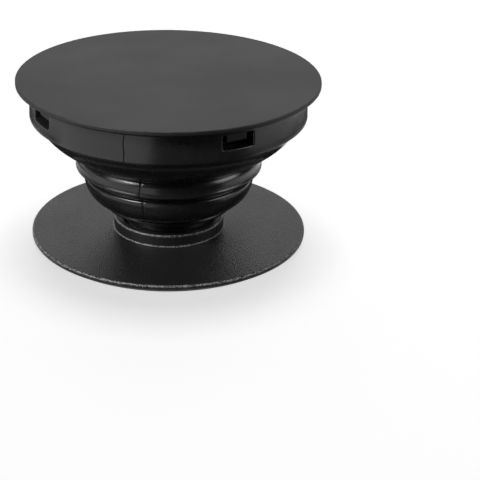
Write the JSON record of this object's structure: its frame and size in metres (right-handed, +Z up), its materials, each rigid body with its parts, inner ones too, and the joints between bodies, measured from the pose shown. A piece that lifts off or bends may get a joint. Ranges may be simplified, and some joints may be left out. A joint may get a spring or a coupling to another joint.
{
  "type": "phone grip",
  "caption": "Raised phone grip: a round flat cap on a soft folding bellows neck above a thin round stick-on base plate.",
  "frame": {"origin": "centre of the liner's lower face, the lowest point of the part", "axes": "+Z up through the middle of the base, the neck and the cap; the front of the picture is toward -Y"},
  "size_m": [0.04, 0.04, 0.0226],
  "materials": {
    "liner_paper": "smooth coated paper",
    "pad_foam": "matte foam",
    "base_abs": "spark-eroded moulded",
    "bellows_tpu": "satin moulded",
    "cap_abs": "smooth matte moulded"
  },
  "bodies": {
    "base": {"release_liner": "liner_paper", "adhesive_pad": "pad_foam", "base_plate": "base_abs"},
    "neck": {"bellows": "bellows_tpu"},
    "head": {"cap": "cap_abs"}
  },
  "joints": [
    {"name": "lower_fold", "type": "slide", "parent": "base", "child": "neck", "axis": [0, 0, 1], "range_m": [-0.0075, 0], "deforming": ["bellows"]},
    {"name": "upper_fold", "type": "slide", "parent": "neck", "child": "head", "axis": [0, 0, 1], "range_m": [-0.0075, 0], "deforming": ["bellows"]}
  ]
}
